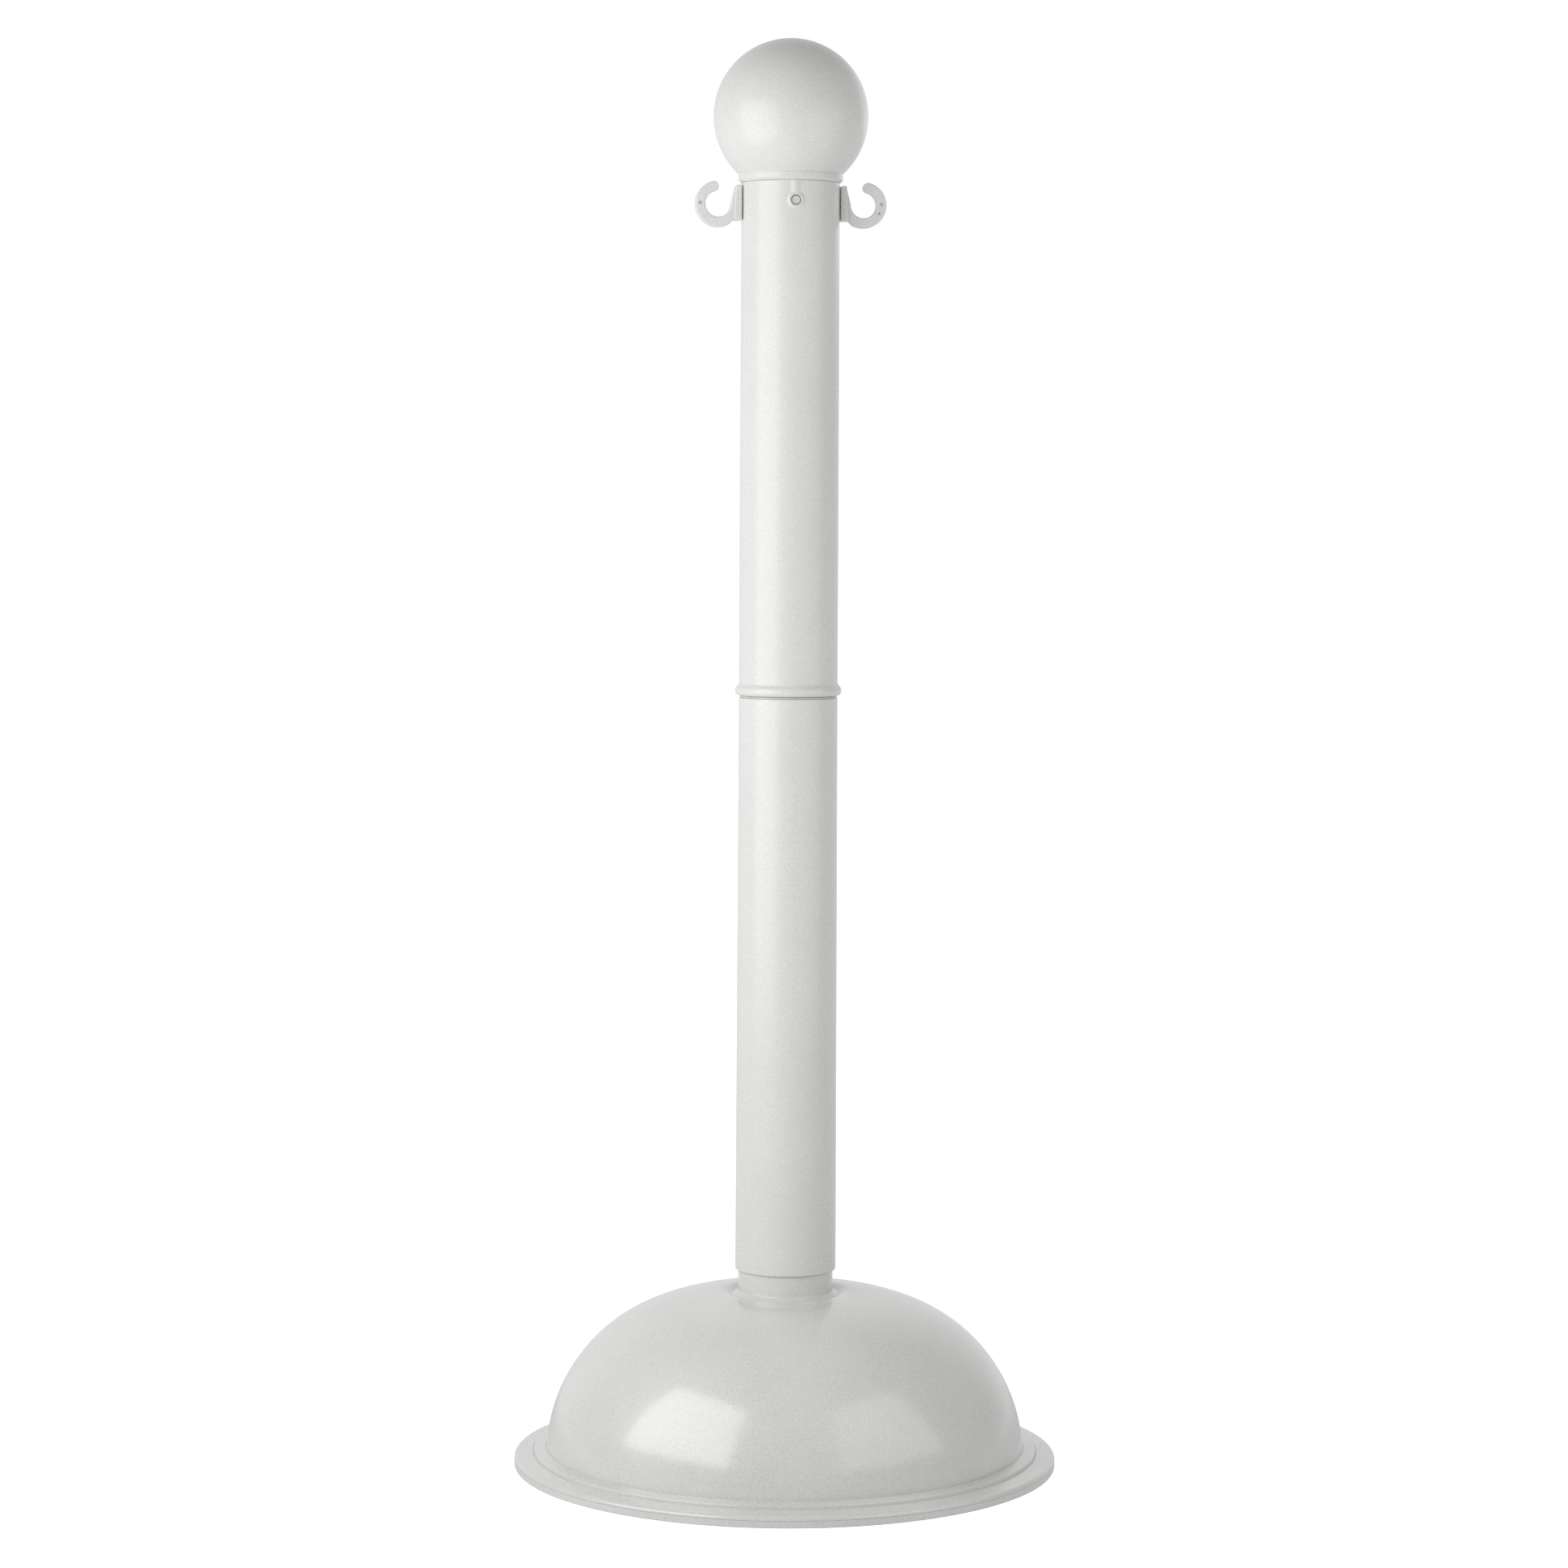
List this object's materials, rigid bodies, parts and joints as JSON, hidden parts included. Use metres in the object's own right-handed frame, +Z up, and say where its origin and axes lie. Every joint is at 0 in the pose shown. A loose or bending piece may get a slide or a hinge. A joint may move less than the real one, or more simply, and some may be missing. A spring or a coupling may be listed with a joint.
{
  "type": "plastic chain stanchion",
  "caption": "White plastic barrier post with a ball top, open side hooks for a chain and a round, hollow, fillable dome base.",
  "frame": {"origin": "on the floor, on the pole's axis, under the middle of the base", "axes": "+Z up along the pole, +X and -X through the two chain hooks, -Y towards the front"},
  "size_m": [0.406, 0.406, 1.0614],
  "materials": {
    "satin_white": "satin, fine moulded grain",
    "gloss_white": "gloss, smooth moulded",
    "grey_plastic": "satin",
    "seal_rubber": "matt"
  },
  "bodies": {
    "base": {"base_shell": "gloss_white", "base_pan": "gloss_white"},
    "filler_seal": {"filler_seal": "seal_rubber"},
    "filler_plug": {"filler_plug": "grey_plastic"},
    "lower_pole": {"lower_tube": "satin_white"},
    "coupler": {"coupler_sleeve": "satin_white"},
    "upper_pole": {"upper_tube": "satin_white"},
    "ball": {"ball_top": "satin_white"},
    "latch_front": {"latch_front": "satin_white"},
    "latch_rear": {"latch_rear": "satin_white"},
    "hook_left": {"hook_left": "satin_white"},
    "hook_right": {"hook_right": "satin_white"}
  },
  "joints": [
    {"name": "lower_pole_lift", "type": "slide", "parent": "base", "child": "lower_pole", "axis": [0, 0, 1], "range_m": [0, 0.12]},
    {"name": "upper_pole_lift", "type": "slide", "parent": "lower_pole", "child": "coupler", "axis": [0, 0, 1], "range_m": [0, 0.1]},
    {"name": "upper_pole_turn", "type": "hinge", "parent": "coupler", "child": "upper_pole", "pos_m": [0, 0, 0.577], "axis": [0, 0, 1], "continuous": true},
    {"name": "ball_lift", "type": "slide", "parent": "upper_pole", "child": "ball", "axis": [0, 0, 1], "range_m": [0, 0.08]},
    {"name": "latch_front_press", "type": "hinge", "parent": "ball", "child": "latch_front", "pos_m": [0, -0.0325, 0.9497], "axis": [1, 0, 0], "range_deg": [0, 8], "stiffness_Nm_per_rad": 0.6},
    {"name": "latch_rear_press", "type": "hinge", "parent": "ball", "child": "latch_rear", "pos_m": [0, 0.0325, 0.9497], "axis": [-1, 0, 0], "range_deg": [0, 8], "stiffness_Nm_per_rad": 0.6},
    {"name": "hook_left_pull", "type": "slide", "parent": "upper_pole", "child": "hook_left", "axis": [-1, 0, 0], "range_m": [0, 0.03]},
    {"name": "hook_right_pull", "type": "slide", "parent": "upper_pole", "child": "hook_right", "axis": [1, 0, 0], "range_m": [0, 0.03]},
    {"name": "filler_seal_drop", "type": "slide", "parent": "base", "child": "filler_seal", "axis": [0, 0, -1], "range_m": [0, 0.0136]},
    {"name": "filler_plug_turn", "type": "hinge", "parent": "filler_seal", "child": "filler_plug", "pos_m": [0, 0.095, 0], "axis": [0, 0, -1], "range_deg": [0, 1620]}
  ],
  "couplings": [
    {"joint": "filler_seal_drop", "follows": "filler_plug_turn", "m_per_rad": 0.00047746}
  ]
}
